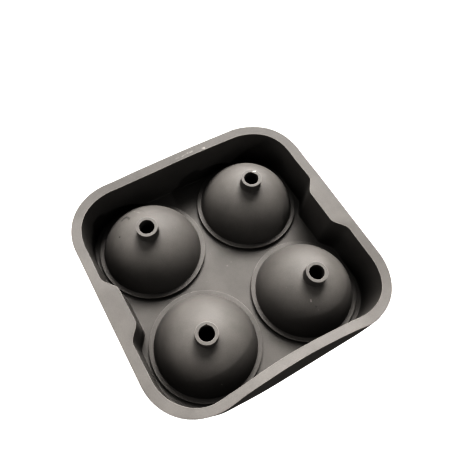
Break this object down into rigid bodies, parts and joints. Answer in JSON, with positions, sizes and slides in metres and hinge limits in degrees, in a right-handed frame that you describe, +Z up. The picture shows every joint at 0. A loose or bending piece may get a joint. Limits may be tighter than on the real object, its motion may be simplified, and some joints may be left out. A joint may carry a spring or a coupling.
{
  "type": "ice ball mould",
  "caption": "Rounded-square silicone mould in two halves: a basin with domes and open filling spouts over a base of hemispherical cups, sealed by a lip round each cup.",
  "frame": {"origin": "middle of the mould's outline, on the surface that it stands on", "axes": "+Z up along the filling holes, +X through the two grips, +Y towards the straight far wall, away from the bowed near wall"},
  "size_m": [0.1214, 0.1194, 0.055],
  "materials": {
    "upper_silicone": "matt",
    "lower_silicone": "matt"
  },
  "bodies": {
    "lower": {"lower_mould": "lower_silicone"},
    "upper": {"upper_mould": "upper_silicone"}
  },
  "joints": [
    {"name": "upper_lift", "type": "slide", "parent": "lower", "child": "upper", "axis": [0, 0, 1], "range_m": [0, 0.06]}
  ]
}
